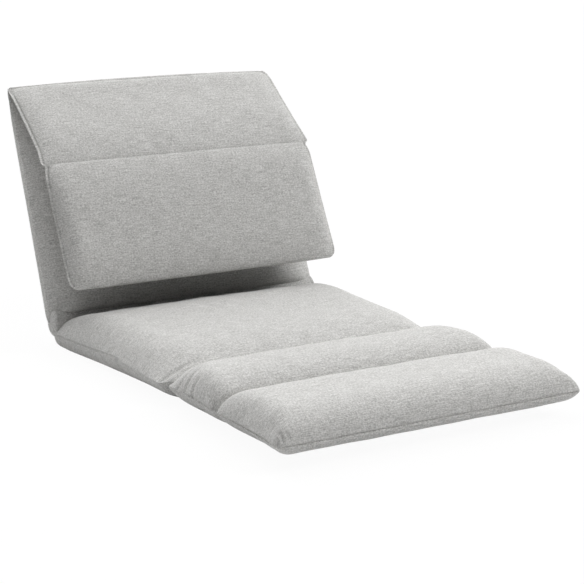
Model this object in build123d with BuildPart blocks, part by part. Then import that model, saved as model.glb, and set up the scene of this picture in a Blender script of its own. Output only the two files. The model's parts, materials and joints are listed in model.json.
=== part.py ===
from build123d import *
import os
from dataclasses import dataclass
from math import cos, radians, sin, sqrt, tan

# Folding floor sofa, in millimetres and degrees. A seat lies on the floor, a leg rest is hinged to
# its front, a leaning back to its rear, and a flap of two padded channels is sewn to the top edge of
# the back and folded down over its front. X runs across the sofa, -Y points to the feet, +Z is up.
# The origin is the middle of the seat's underside, on the floor.

# Lengths of the sections, each from one fold to the next
WIDTH = 580.0
SEAT_LENGTH = 480.0
CALF_LENGTH = 178.0
FOOT_LENGTH = 202.0
BACK_LENGTH = 467.0
HEAD_LENGTH = 211.0
PILLOW_LENGTH = 242.0

# Floor to the cover's side seam. The frame tubes and both ratchet hinges lie at this height too.
SEAM_HEIGHT = 40.0

# Padding above the seam (the face) and below it (the underside), in the middle of each channel
SEAT_FACE = 48.0
CALF_FACE = 50.0
FOOT_FACE = 57.0
BACK_FACE = 41.0
BACK_UNDER = 38.0
HEAD_FACE = 28.0
HEAD_UNDER = 15.0
PILLOW_FACE = 33.0
PILLOW_UNDER = 20.0
CHANNEL_FACE = 22.0
CHANNEL_UNDER = 30.0
FLAP_SEAM_UNDER = 9.0

# Folds away from the flat bed, as the sofa stands in the photograph
NOTCH_PITCH = 20.0 / 3.0
NOTCH_COUNT = 13
BACK_NOTCH = 10
BACK_FOLD = BACK_NOTCH * NOTCH_PITCH
RATCHET_TRAVEL = (NOTCH_COUNT - 1) * NOTCH_PITCH
HEAD_FOLD = 150.0
PILLOW_FOLD = 26.0

# Cover: fabric with its bonded fleece, the sewn edge, and how the sides are shaped
COVER = 2.0
EDGE = 1.5
THIN_RIM = 0.8
FACE_SIDE_RUN = 64.0
UNDER_SIDE_RUN = 54.0
SEAT_REAR_SIDE_RUN = 20.0
BACK_REAR_SIDE_RUN = 30.0
FLAP_OUTER_SIDE_RUN = 30.0
FACE_SHOULDER = 0.93
WAIST = 2.0
CORNER_RUN = 40.0
STATION_STEP_MIN = 0.01
FILL_SIDE_INSET = 10.0
FILL_RIM = 1.2
FILL_GAP = 0.3

# Frame tubes
RAIL_INSET = 62.0
TUBE_RADIUS = 9.5
TUBE_WALL = 1.5
CROSS_RADIUS = 8.0
TUBE_START = 32.0
BEND_RADIUS = 60.0
BACK_TOP_BAR = 92.0
FOOT_FRONT_BAR = 62.0
SEAT_CROSS_SHARES = (0.22, 0.5, 0.78)
BACK_CROSS_SHARES = (0.25, 0.55)
CALF_CROSS_SHARES = (0.5,)
TUNNEL_GAP = 0.3

# Ratchet hinges
WHEEL_RADIUS = 15.0
WHEEL_THICK = 5.0
NOTCH_DEPTH = 1.5
NOTCH_WIDTH = 1.6
CHEEK_RADIUS = 16.0
CHEEK_THICK = 2.5
CHEEK_GAP = 0.3
ARM_HEIGHT = 13.0
BLOCK_START = 18.0
SPIGOT_START = 30.0
SPIGOT_LENGTH = 40.0
SPIGOT_GAP = 0.2
PIVOT_RADIUS = 4.0
PIVOT_GAP = 0.05
PIVOT_HEAD_RADIUS = 7.0
PIVOT_HEAD_THICK = 2.0
POCKET_RADIUS = 18.0
POCKET_WIDTH = 19.0

# Leaf pawls: a spring strip under the hinge block with a tip that drops into a notch
PAWL_ANGLE = -25.0
PAWL_WIDTH = 4.6
PAWL_THICK = 1.2
PAWL_NECK = 17.0
PAWL_TIP_GAP = 0.4
PAWL_TIP_LENGTH = 1.6
PAWL_TIP_WIDTH = 0.9

# Blind rivets that hold the spigots in the tubes
SPIGOT_RIVET_PLACE = 52.0
SPIGOT_RIVET_RADIUS = 2.4
SPIGOT_RIVET_GAP = 0.05
SPIGOT_RIVET_DEPTH = 6.0
SPIGOT_RIVET_HEAD = 4.5
SPIGOT_RIVET_HEAD_THICK = 1.2
SPIGOT_RIVET_SEAT = 0.05

# Welt cords sewn into the two folds of the flap
CORD_RADIUS = 2.2
CORD_INSET = 18.0

RAIL_X = WIDTH / 2 - RAIL_INSET
LEGREST_LENGTH = CALF_LENGTH + FOOT_LENGTH
SPIGOT_RADIUS = TUBE_RADIUS - TUBE_WALL - SPIGOT_GAP
STATION_ANGLES = (0, 30, 60, 90)


@dataclass
class End:
    """One end of a padded channel. Pairs hold the face first and the underside second.

    gap is the distance from the fold or tip to the sewn edge, edge is the thickness there, run is the
    length over which the padding swells, fold is the steepest angle that it may reach as seen from the
    fold (None where nothing folds against it), and corner is how far its corners are drawn in.
    """

    gap: float
    edge: tuple
    run: tuple
    fold: tuple
    corner: float


@dataclass
class Channel:
    """One padded channel of a cushion, from start to start + length along its panel.

    side_runs is how far from the side seam the face, the near underside and the far underside round off.
    """

    start: float
    length: float
    near: End
    far: End
    crown: tuple
    side_runs: tuple = (FACE_SIDE_RUN, UNDER_SIDE_RUN, UNDER_SIDE_RUN)


RECLINE_END = End(gap=3.0, edge=(1.6, 25.0), run=(60.0, 30.0), fold=(48, 85), corner=2.0)
LEGREST_END = End(gap=3.0, edge=(1.6, 12.0), run=(60.0, 45.0), fold=(48, 80), corner=4.0)
CHANNEL_END = End(gap=0.0, edge=(CHANNEL_FACE, CHANNEL_UNDER), run=(52.0, 52.0), fold=(None, None), corner=5.0)
FOOT_TIP = End(gap=1.0, edge=(5.0, 6.0), run=(66.0, 130.0), fold=(None, None), corner=6.0)
TOP_FOLD_END = End(gap=3.0, edge=(0.7, 1.6), run=(150.0, 150.0), fold=(14.3, 30), corner=3.0)
PILLOW_FOLD_END = End(gap=3.0, edge=(1.6, FLAP_SEAM_UNDER), run=(42.0, 10.0), fold=(60, None), corner=4.0)
PILLOW_TIP = End(gap=1.0, edge=(4.0, 4.0), run=(60.0, 34.0), fold=(None, None), corner=16.0)


@dataclass
class Layer:
    """One skin of a cushion: the outside of its cover, the space inside it, or the foam in that space."""

    to_sewn_ends: bool
    side_inset: float
    run_inset: float
    depth: float
    rim: float


OUTSIDE = Layer(True, 0, 0, 0, EDGE)
CAVITY = Layer(False, FILL_SIDE_INSET, FILL_SIDE_INSET, COVER, FILL_RIM)
FOAM = Layer(False, FILL_SIDE_INSET + FILL_GAP, FILL_SIDE_INSET, COVER + FILL_GAP, FILL_RIM - FILL_GAP)


def panel(origin, length_angle, face_angle):
    """Plane of a section's seam: local y runs along its length, local z points out of its face."""
    along = Vector(0, cos(radians(length_angle)), sin(radians(length_angle)))
    face = Vector(0, cos(radians(face_angle)), sin(radians(face_angle)))
    return Plane(origin=origin, x_dir=along.cross(face), z_dir=face)


back_angle = BACK_FOLD
head_angle = back_angle + HEAD_FOLD
pillow_angle = head_angle + PILLOW_FOLD
recline_axis = Vector(0, SEAT_LENGTH / 2, SEAM_HEIGHT)
legrest_axis = Vector(0, -SEAT_LENGTH / 2, SEAM_HEIGHT)

seat_panel = panel(recline_axis, 180, 90)
legrest_panel = panel(legrest_axis, 180, 90)
back_panel = panel(recline_axis, back_angle, back_angle + 90)
head_panel = panel(recline_axis + back_panel.y_dir * BACK_LENGTH, head_angle, head_angle + 90)
pillow_panel = panel(head_panel.origin + head_panel.y_dir * HEAD_LENGTH, pillow_angle, pillow_angle + 90)

seat_sides = (FACE_SIDE_RUN, SEAT_REAR_SIDE_RUN, UNDER_SIDE_RUN)
back_sides = (FACE_SIDE_RUN, BACK_REAR_SIDE_RUN, BACK_REAR_SIDE_RUN)
flap_sides = (FACE_SIDE_RUN, FLAP_OUTER_SIDE_RUN, FLAP_OUTER_SIDE_RUN)
seat_channels = [Channel(0, SEAT_LENGTH, RECLINE_END, LEGREST_END, (SEAT_FACE, SEAM_HEIGHT), seat_sides)]
legrest_channels = [
    Channel(0, CALF_LENGTH, LEGREST_END, CHANNEL_END, (CALF_FACE, SEAM_HEIGHT)),
    Channel(CALF_LENGTH, FOOT_LENGTH, CHANNEL_END, FOOT_TIP, (FOOT_FACE, SEAM_HEIGHT)),
]
back_channels = [Channel(0, BACK_LENGTH, RECLINE_END, TOP_FOLD_END, (BACK_FACE, BACK_UNDER), back_sides)]
head_channels = [Channel(0, HEAD_LENGTH, TOP_FOLD_END, PILLOW_FOLD_END, (HEAD_FACE, HEAD_UNDER), flap_sides)]
pillow_channels = [
    Channel(0, PILLOW_LENGTH, PILLOW_FOLD_END, PILLOW_TIP, (PILLOW_FACE, PILLOW_UNDER), flap_sides)
]


def swell(distance, run):
    """Share of the full padding at this distance from a sewn end: a quarter ellipse over the run."""
    return sqrt(1 - (1 - min(max(distance, 0) / run, 1)) ** 2)


def section_sizes(channel, place):
    """Half width, face height and underside depth of a channel at a place along it."""
    ends = ((channel.near, place), (channel.far, channel.length - place))
    sizes = []
    for side, crown in enumerate(channel.crown):
        height = crown
        sewn = 0
        limits = []
        for end, distance in ends:
            share = swell(distance - end.gap, end.run[side])
            height *= share
            sewn += end.edge[side] * (1 - share)
            if end.fold[side] is not None:
                limits.append(distance * tan(radians(end.fold[side])))
        sizes.append(min([height + sewn] + limits))
    middle = place / channel.length
    half_width = WIDTH / 2 - 4 * WAIST * middle * (1 - middle)
    for end, distance in ends:
        half_width -= end.corner * (1 - swell(distance - end.gap, CORNER_RUN))
    return half_width, sizes[0], sizes[1]


def stations(channel):
    """Places along a channel where its sections stand, closer together towards its ends."""
    shares = [1 - cos(radians(angle)) for angle in STATION_ANGLES]
    near = [channel.near.gap + channel.near.run[0] * share for share in shares]
    far = [channel.length - channel.far.gap - channel.far.run[0] * share for share in reversed(shares)]
    return near + far


def sections(channels):
    """All sections of a cushion, as place, half width, face height and underside depth."""
    found = []
    for channel in channels:
        for place in stations(channel):
            found.append((channel.start + place, *section_sizes(channel, place)))
    return [s for i, s in enumerate(found) if i == 0 or s[0] > found[i - 1][0] + STATION_STEP_MIN]


def lofted(frame, channels, layer):
    """Solid through lens shaped sections: a crowned face, a flatter underside and thin sewn sides."""
    shapes = sections(channels)
    if not layer.to_sewn_ends:
        shapes = shapes[1:-1]
    length = channels[-1].start + channels[-1].length
    face_run, near_run, far_run = [run - layer.run_inset for run in channels[0].side_runs]
    with BuildPart() as body:
        for place, half_width, face, under in shapes:
            under_run = near_run + (far_run - near_run) * place / length
            here = Plane(frame.from_local_coords((0, place, 0)), x_dir=frame.x_dir, z_dir=-frame.y_dir)
            side = half_width - layer.side_inset
            top = face - layer.depth
            bottom = under - layer.depth
            rim = min(layer.rim, THIN_RIM * min(top, bottom))
            shoulder = rim + FACE_SHOULDER * (top - rim)
            with BuildSketch(here):
                with BuildLine():
                    for hand in (-1, 1):
                        TangentArc(
                            (hand * (side - face_run), shoulder), (hand * side, rim), tangent=(hand, 0)
                        )
                        TangentArc(
                            (hand * (side - under_run), -bottom), (hand * side, -rim), tangent=(hand, 0)
                        )
                        Line((hand * side, rim), (hand * side, -rim))
                    ThreePointArc((-side + face_run, shoulder), (0, top), (side - face_run, shoulder))
                    Line((-side + under_run, -bottom), (side - under_run, -bottom))
                make_face()
        loft(ruled=True)
    return body.part


def across(frame, place):
    """Plane across the sofa at a place along a section, for tubes that run along it."""
    return Plane(frame.from_local_coords((0, place, 0)), x_dir=frame.x_dir, z_dir=frame.y_dir)


def hinge_plane(frame, hand):
    """Plane of one hinge's plates: local x along the section, local y out of its face."""
    return Plane(frame.from_local_coords((hand * RAIL_X, 0, 0)), x_dir=frame.y_dir, z_dir=frame.x_dir)


def side_of(frame, side):
    """Hand of the local x axis that points to the sofa's left (-X) or right (+X)."""
    return side * (1 if frame.x_dir.X > 0 else -1)


def flipped(frame, place):
    """The same section seen from its far hinge: the length runs the other way, the face stays."""
    return Plane(frame.from_local_coords((0, place, 0)), x_dir=-frame.x_dir, z_dir=frame.z_dir)


seat_front_panel = flipped(seat_panel, SEAT_LENGTH)


# Space that the frame and the hinges take out of the padding


def hinge_pockets(frame):
    """Round pockets at the two hinges of a section's end."""
    with BuildPart() as pockets:
        for hand in (-1, 1):
            with BuildSketch(hinge_plane(frame, hand).offset(-POCKET_WIDTH / 2)):
                Circle(POCKET_RADIUS)
            extrude(amount=POCKET_WIDTH)
    return pockets.part


def rivet_clearance(frame):
    """Room for the heads of the spigot rivets above the tubes."""
    with BuildPart() as rooms:
        with BuildSketch(frame):
            with Locations(*[(hand * RAIL_X, SPIGOT_RIVET_PLACE) for hand in (-1, 1)]):
                Circle(SPIGOT_RIVET_HEAD + TUNNEL_GAP)
        extrude(amount=TUBE_RADIUS + SPIGOT_RIVET_SEAT + SPIGOT_RIVET_HEAD_THICK + TUNNEL_GAP)
    return rooms.part


def straight_tunnels(frame, length):
    """Tunnels for two straight rails."""
    with BuildPart() as tunnels:
        with BuildSketch(across(frame, 0)):
            with Locations((-RAIL_X, 0), (RAIL_X, 0)):
                Circle(TUBE_RADIUS + TUNNEL_GAP)
        extrude(amount=length)
    return tunnels.part


def loop_path(frame, start, far):
    """Centre line of a tube bent to a U: up one rail, across at the far bar and back."""
    corners = [(-RAIL_X, start), (-RAIL_X, far), (RAIL_X, far), (RAIL_X, start)]
    with BuildLine(frame) as path:
        FilletPolyline(*corners, radius=BEND_RADIUS)
    return path


def loop_tunnels(frame, far):
    """Tunnel for a tube bent to a U, with its hinge arms."""
    path = loop_path(frame, 0, far)
    with BuildPart() as tunnels:
        with BuildSketch(across(frame, 0)):
            with Locations((-RAIL_X, 0)):
                Circle(TUBE_RADIUS + TUNNEL_GAP)
        sweep(path=path.wire())
    return tunnels.part


def cross_tunnels(frame, places):
    """Tunnels for cross tubes."""
    with BuildPart() as tunnels:
        for place in places:
            with BuildSketch(hinge_plane(frame, 0)):
                with Locations((place, 0)):
                    Circle(CROSS_RADIUS + TUNNEL_GAP)
        extrude(amount=RAIL_X, both=True)
    return tunnels.part


SEAT_CROSS_PLACES = [SEAT_LENGTH * share for share in SEAT_CROSS_SHARES]
BACK_CROSS_PLACES = [BACK_LENGTH * share for share in BACK_CROSS_SHARES]
LEGREST_CROSS_PLACES = [CALF_LENGTH * share for share in CALF_CROSS_SHARES]
BACK_BAR_PLACE = BACK_LENGTH - BACK_TOP_BAR
FOOT_BAR_PLACE = LEGREST_LENGTH - FOOT_FRONT_BAR

with BuildPart() as seat_hollows:
    add(straight_tunnels(seat_panel, SEAT_LENGTH))
    add(cross_tunnels(seat_panel, SEAT_CROSS_PLACES))
    add(hinge_pockets(seat_panel))
    add(hinge_pockets(seat_front_panel))
    add(rivet_clearance(seat_panel))
    add(rivet_clearance(seat_front_panel))

with BuildPart() as back_hollows:
    add(loop_tunnels(back_panel, BACK_BAR_PLACE))
    add(cross_tunnels(back_panel, BACK_CROSS_PLACES))
    add(hinge_pockets(back_panel))
    add(rivet_clearance(back_panel))

with BuildPart() as legrest_hollows:
    add(loop_tunnels(legrest_panel, FOOT_BAR_PLACE))
    add(cross_tunnels(legrest_panel, LEGREST_CROSS_PLACES))
    add(hinge_pockets(legrest_panel))
    add(rivet_clearance(legrest_panel))


def cover_half(name, frame, channels, keep, pockets):
    """One panel of a section's cover: a thin shell that ends at the seam."""
    with BuildPart() as cover:
        add(lofted(frame, channels, OUTSIDE))
        add(lofted(frame, channels, CAVITY), mode=Mode.SUBTRACT)
        for pocket in pockets:
            add(pocket, mode=Mode.SUBTRACT)
        split(bisect_by=frame, keep=keep)
    cover.part.label = name
    return cover.part


def foam_half(name, frame, channels, keep, hollows):
    """One slab of foam, above or below the frame, with half tunnels for the tubes."""
    with BuildPart() as slab:
        add(lofted(frame, channels, FOAM))
        add(hollows, mode=Mode.SUBTRACT)
        split(bisect_by=frame, keep=keep)
    slab.part.label = name
    return slab.part


made = []

# Covers
seat_pockets = [hinge_pockets(seat_panel), hinge_pockets(seat_front_panel)]
made.append(cover_half("seat_cover_top", seat_panel, seat_channels, Keep.TOP, seat_pockets))
made.append(cover_half("seat_cover_bottom", seat_panel, seat_channels, Keep.BOTTOM, seat_pockets))
legrest_pockets = [hinge_pockets(legrest_panel)]
made.append(cover_half("legrest_cover_top", legrest_panel, legrest_channels, Keep.TOP, legrest_pockets))
made.append(
    cover_half("legrest_cover_bottom", legrest_panel, legrest_channels, Keep.BOTTOM, legrest_pockets)
)
back_pockets = [hinge_pockets(back_panel)]
made.append(cover_half("back_cover_front", back_panel, back_channels, Keep.TOP, back_pockets))
made.append(cover_half("back_cover_rear", back_panel, back_channels, Keep.BOTTOM, back_pockets))
made.append(cover_half("head_cover_inner", head_panel, head_channels, Keep.TOP, []))
made.append(cover_half("head_cover_outer", head_panel, head_channels, Keep.BOTTOM, []))
made.append(cover_half("pillow_cover_inner", pillow_panel, pillow_channels, Keep.TOP, []))
made.append(cover_half("pillow_cover_outer", pillow_panel, pillow_channels, Keep.BOTTOM, []))

# Foam
made.append(foam_half("seat_foam_upper", seat_panel, seat_channels, Keep.TOP, seat_hollows.part))
made.append(foam_half("seat_foam_lower", seat_panel, seat_channels, Keep.BOTTOM, seat_hollows.part))
made.append(foam_half("legrest_foam_upper", legrest_panel, legrest_channels, Keep.TOP, legrest_hollows.part))
made.append(
    foam_half("legrest_foam_lower", legrest_panel, legrest_channels, Keep.BOTTOM, legrest_hollows.part)
)
made.append(foam_half("back_foam_front", back_panel, back_channels, Keep.TOP, back_hollows.part))
made.append(foam_half("back_foam_rear", back_panel, back_channels, Keep.BOTTOM, back_hollows.part))

head_foam = lofted(head_panel, head_channels, FOAM)
head_foam.label = "head_foam"
made.append(head_foam)
pillow_foam = lofted(pillow_panel, pillow_channels, FOAM)
pillow_foam.label = "pillow_foam"
made.append(pillow_foam)


# Frame tubes


def rivet_holes(frame):
    """Holes through the tubes' face side for the spigot rivets."""
    with BuildPart() as holes:
        with BuildSketch(frame):
            with Locations(*[(hand * RAIL_X, SPIGOT_RIVET_PLACE) for hand in (-1, 1)]):
                Circle(SPIGOT_RIVET_RADIUS + SPIGOT_RIVET_GAP)
        extrude(amount=TUBE_RADIUS * 2)
    return holes.part


for side, side_name in ((-1, "left"), (1, "right")):
    hand = side_of(seat_panel, side)
    with BuildPart() as rail:
        with BuildSketch(across(seat_panel, TUBE_START)):
            with Locations((hand * RAIL_X, 0)):
                Circle(TUBE_RADIUS)
                Circle(TUBE_RADIUS - TUBE_WALL, mode=Mode.SUBTRACT)
        extrude(amount=SEAT_LENGTH - 2 * TUBE_START)
        add(rivet_holes(seat_panel), mode=Mode.SUBTRACT)
        add(rivet_holes(seat_front_panel), mode=Mode.SUBTRACT)
    rail.part.label = f"seat_rail_{side_name}"
    made.append(rail.part)


def bent_frame(name, frame, far):
    """Tube bent to a U whose two open ends take the hinge spigots."""
    path = loop_path(frame, TUBE_START, far)
    with BuildPart() as loop:
        with BuildSketch(across(frame, TUBE_START)):
            with Locations((-RAIL_X, 0)):
                Circle(TUBE_RADIUS)
                Circle(TUBE_RADIUS - TUBE_WALL, mode=Mode.SUBTRACT)
        sweep(path=path.wire())
        add(rivet_holes(frame), mode=Mode.SUBTRACT)
    loop.part.label = name
    return loop.part


made.append(bent_frame("back_frame", back_panel, BACK_BAR_PLACE))
made.append(bent_frame("legrest_frame", legrest_panel, FOOT_BAR_PLACE))


def cross_tubes(name, frame, places):
    """Straight tubes across the rails, with saddle cut ends that are welded to them."""
    with BuildPart() as tubes:
        with BuildSketch(hinge_plane(frame, 0)):
            with Locations(*[(place, 0) for place in places]):
                Circle(CROSS_RADIUS)
                Circle(CROSS_RADIUS - TUBE_WALL, mode=Mode.SUBTRACT)
        extrude(amount=RAIL_X, both=True)
        with BuildSketch(across(frame, 0)):
            with Locations((-RAIL_X, 0), (RAIL_X, 0)):
                Circle(TUBE_RADIUS)
        extrude(amount=max(places) + 2 * CROSS_RADIUS, mode=Mode.SUBTRACT)
    tubes.part.label = name
    return tubes.part


made.append(cross_tubes("seat_cross_tubes", seat_panel, SEAT_CROSS_PLACES))
made.append(cross_tubes("back_cross_tubes", back_panel, BACK_CROSS_PLACES))
made.append(cross_tubes("legrest_cross_tube", legrest_panel, LEGREST_CROSS_PLACES))


# Ratchet hinges: a toothed wheel arm on the moving section, two cheeks on the seat


def spigot_sketch_plane(frame, hand, place):
    """Plane across a hinge arm, at a place along it and centred on its rail."""
    return Plane(
        frame.from_local_coords((hand * RAIL_X, place, 0)), x_dir=frame.x_dir, z_dir=frame.y_dir
    )


def wheel_arm(name, frame, hand):
    """Toothed wheel with a neck and a round spigot that plugs into the section's tube."""
    plate = hinge_plane(frame, hand)
    last_notch = 180 - PAWL_ANGLE - RATCHET_TRAVEL
    notch_mouth = WHEEL_RADIUS + NOTCH_DEPTH
    notch = [(WHEEL_RADIUS - NOTCH_DEPTH, 0), (notch_mouth, NOTCH_WIDTH), (notch_mouth, -NOTCH_WIDTH)]
    with BuildPart() as arm:
        with BuildSketch(plate):
            Circle(WHEEL_RADIUS)
            with Locations((SPIGOT_START / 2, 0)):
                Rectangle(SPIGOT_START, ARM_HEIGHT)
        extrude(amount=WHEEL_THICK / 2, both=True)
        with BuildSketch(spigot_sketch_plane(frame, hand, SPIGOT_START)):
            Circle(SPIGOT_RADIUS)
        extrude(amount=SPIGOT_LENGTH)
        with BuildSketch(plate):
            Circle(PIVOT_RADIUS + PIVOT_GAP)
            with PolarLocations(0, NOTCH_COUNT, last_notch, RATCHET_TRAVEL, endpoint=True):
                Polygon(*notch, align=None)
        extrude(amount=WHEEL_THICK, both=True, mode=Mode.SUBTRACT)
        add(spigot_rivet_hole(frame, hand), mode=Mode.SUBTRACT)
    arm.part.label = name
    return arm.part


def spigot_rivet_hole(frame, hand):
    """Blind hole in a spigot for its rivet."""
    with BuildPart() as hole:
        with BuildSketch(frame.offset(TUBE_RADIUS - SPIGOT_RIVET_DEPTH - SPIGOT_RIVET_GAP)):
            with Locations((hand * RAIL_X, SPIGOT_RIVET_PLACE)):
                Circle(SPIGOT_RIVET_RADIUS + SPIGOT_RIVET_GAP)
        extrude(amount=TUBE_RADIUS)
    return hole.part


def cheek_arm(name, frame, hand):
    """Two cheek plates either side of the wheel, joined by a block with a spigot."""
    plate = hinge_plane(frame, hand)
    inner = WHEEL_THICK / 2 + CHEEK_GAP
    with BuildPart() as arm:
        for start in (inner, -inner - CHEEK_THICK):
            with BuildSketch(plate.offset(start)):
                Circle(CHEEK_RADIUS)
                with Locations((SPIGOT_START / 2, 0)):
                    Rectangle(SPIGOT_START, ARM_HEIGHT)
                Circle(PIVOT_RADIUS + PIVOT_GAP, mode=Mode.SUBTRACT)
            extrude(amount=CHEEK_THICK)
        with BuildSketch(plate):
            with Locations(((BLOCK_START + SPIGOT_START) / 2, 0)):
                Rectangle(SPIGOT_START - BLOCK_START, ARM_HEIGHT)
        extrude(amount=inner + CHEEK_THICK, both=True)
        with BuildSketch(spigot_sketch_plane(frame, hand, SPIGOT_START)):
            Circle(SPIGOT_RADIUS)
        extrude(amount=SPIGOT_LENGTH)
        add(spigot_rivet_hole(frame, hand), mode=Mode.SUBTRACT)
    arm.part.label = name
    return arm.part


for side, side_name in ((-1, "left"), (1, "right")):
    made.append(cheek_arm(f"recline_cheeks_{side_name}", seat_panel, side_of(seat_panel, side)))
    made.append(wheel_arm(f"recline_wheel_{side_name}", back_panel, side_of(back_panel, side)))
    made.append(
        cheek_arm(f"legrest_cheeks_{side_name}", seat_front_panel, side_of(seat_front_panel, side))
    )
    made.append(wheel_arm(f"legrest_wheel_{side_name}", legrest_panel, side_of(legrest_panel, side)))


def pivots(name, frame):
    """Pivot rivets of one hinge line, with a head against each outer cheek."""
    outer = WHEEL_THICK / 2 + CHEEK_GAP + CHEEK_THICK
    with BuildPart() as pins:
        for hand in (-1, 1):
            plate = hinge_plane(frame, hand)
            with BuildSketch(plate):
                Circle(PIVOT_RADIUS)
            extrude(amount=outer, both=True)
            for start in (outer, -outer - PIVOT_HEAD_THICK):
                with BuildSketch(plate.offset(start)):
                    Circle(PIVOT_HEAD_RADIUS)
                extrude(amount=PIVOT_HEAD_THICK)
    pins.part.label = name
    return pins.part


made.append(pivots("recline_pivots", seat_panel))
made.append(pivots("legrest_pivots", seat_front_panel))


def leaf_pawls(name, frame):
    """Spring leaves under the hinge blocks, each with its tip in a notch of the wheel."""
    radial = Vector(cos(radians(PAWL_ANGLE)), sin(radians(PAWL_ANGLE)))
    square = Vector(-radial.Y, radial.X)
    tip = radial * (WHEEL_RADIUS - NOTCH_DEPTH + PAWL_TIP_GAP)
    root = radial * (WHEEL_RADIUS - NOTCH_DEPTH + PAWL_TIP_GAP + PAWL_TIP_LENGTH)
    upper = root + square * (PAWL_TIP_WIDTH / 2)
    lower = root - square * (PAWL_TIP_WIDTH / 2)
    under = -ARM_HEIGHT / 2
    outline = [
        (tip.X, tip.Y),
        (upper.X, upper.Y),
        (PAWL_NECK, under),
        (SPIGOT_START, under),
        (SPIGOT_START, under - PAWL_THICK),
        (PAWL_NECK, under - PAWL_THICK),
        (lower.X, lower.Y),
    ]
    with BuildPart() as leaves:
        for hand in (-1, 1):
            with BuildSketch(hinge_plane(frame, hand)):
                with BuildLine():
                    Polyline(*outline, close=True)
                make_face()
            extrude(amount=PAWL_WIDTH / 2, both=True)
    leaves.part.label = name
    return leaves.part


made.append(leaf_pawls("recline_leaf_pawls", seat_panel))
made.append(leaf_pawls("legrest_leaf_pawls", seat_front_panel))


def spigot_rivets(name, frames):
    """Blind rivets through the tubes into the spigots, with their heads on the tubes' face side."""
    with BuildPart() as rivets:
        for frame in frames:
            places = [(hand * RAIL_X, SPIGOT_RIVET_PLACE) for hand in (-1, 1)]
            with BuildSketch(frame.offset(TUBE_RADIUS - SPIGOT_RIVET_DEPTH)):
                with Locations(*places):
                    Circle(SPIGOT_RIVET_RADIUS)
            extrude(amount=SPIGOT_RIVET_DEPTH + SPIGOT_RIVET_SEAT)
            with BuildSketch(frame.offset(TUBE_RADIUS + SPIGOT_RIVET_SEAT)):
                with Locations(*places):
                    Circle(SPIGOT_RIVET_HEAD)
            extrude(amount=SPIGOT_RIVET_HEAD_THICK)
    rivets.part.label = name
    return rivets.part


made.append(spigot_rivets("seat_spigot_rivets", [seat_panel, seat_front_panel]))
made.append(spigot_rivets("back_spigot_rivets", [back_panel]))
made.append(spigot_rivets("legrest_spigot_rivets", [legrest_panel]))


def fold_cord(name, frame):
    """Welt cord along a sewn fold, which the two sections turn about."""
    with BuildPart() as cord:
        with BuildSketch(hinge_plane(frame, 0)):
            Circle(CORD_RADIUS)
        extrude(amount=WIDTH / 2 - CORD_INSET, both=True)
    cord.part.label = name
    return cord.part


made.append(fold_cord("head_fold_cord", head_panel))
made.append(fold_cord("pillow_fold_cord", pillow_panel))

os.makedirs("parts", exist_ok=True)
for piece in made:
    export_step(piece, f"parts/{piece.label}.step")
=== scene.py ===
"""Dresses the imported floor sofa: padded cushions, fold sleeves, seams, finishes, studio and camera.

All lengths are in metres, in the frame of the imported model: X runs across the sofa, -Y points to the
feet and +Z is up. A section's own coordinates are x across, v along its length and w out of its face.
"""

import json
import logging
import math
from dataclasses import dataclass, replace
from enum import Enum
from typing import Any, ClassVar

import bmesh
import bpy
import numpy as np
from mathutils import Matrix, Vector


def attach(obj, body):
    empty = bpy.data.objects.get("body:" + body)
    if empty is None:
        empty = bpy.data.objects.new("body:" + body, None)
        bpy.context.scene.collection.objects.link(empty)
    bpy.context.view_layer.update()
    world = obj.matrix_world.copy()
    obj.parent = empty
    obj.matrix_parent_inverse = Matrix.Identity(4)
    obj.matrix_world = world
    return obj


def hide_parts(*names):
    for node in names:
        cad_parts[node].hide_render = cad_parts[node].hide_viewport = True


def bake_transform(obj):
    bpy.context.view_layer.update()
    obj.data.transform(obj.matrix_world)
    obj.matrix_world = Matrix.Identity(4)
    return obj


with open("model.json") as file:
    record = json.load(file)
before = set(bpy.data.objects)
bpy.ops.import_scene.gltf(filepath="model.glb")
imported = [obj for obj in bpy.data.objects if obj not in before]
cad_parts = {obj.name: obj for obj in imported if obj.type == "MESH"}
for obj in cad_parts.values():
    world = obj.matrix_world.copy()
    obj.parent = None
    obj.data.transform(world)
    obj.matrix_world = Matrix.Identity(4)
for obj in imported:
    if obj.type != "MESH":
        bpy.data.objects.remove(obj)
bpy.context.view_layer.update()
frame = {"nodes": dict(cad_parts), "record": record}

log = logging.getLogger("floor_sofa")

Array = np.ndarray
Piece = bpy.types.Object
Material = bpy.types.Material
Pair = tuple[float, float]
Triple = tuple[float, float, float]
Colour = Triple

WIDTH = 0.580
# Lengths over which a drawn in corner and a raised nose fade
CORNER_RUN = 0.022
NOSE_RUN = 0.060
# Share of the padding that is reached where the rounding of the sides ends
SHOULDER = 0.96
# Mesh of the covers: spacing, samples per channel, least rows on an end wall, and columns at the rim
GRID_STEP = 0.0058
CURVE_SAMPLES = 1200
WALL_ROWS = 5
RIM_COLUMNS = (0, 0.0004, 0.001, 0.002, 0.0036, 0.006, 0.0095, 0.014, 0.019, 0.0245, 0.030)
# Wavelengths of the cover's faint unevenness, and the distance from a seam within which it is calm
RIPPLE_LENGTHS = (0.21, 0.13, 0.08)
RIPPLE_CALM = 0.02
# Mesh of the sleeves: spacing, points on an end cap and its length
SLEEVE_STEP = 0.006
CAP_POINTS = 9
CAP_LENGTH = 0.009
# Gathers of the sleeves: waves of length, size and phase, their run from the ends, and their share elsewhere
GATHER_WAVES = ((0.011, 1.0, 0.0), (0.0173, 0.6, 1.3))
GATHER_RUN = 0.035
GATHER_MIDDLE = 0.25
# Where the creases of the left side start
LEFT_EDGE = -WIDTH / 2 + 0.002


class Side(Enum):
    """The two sheets of a cushion's cover."""

    FACE = 0
    UNDER = 1


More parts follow.
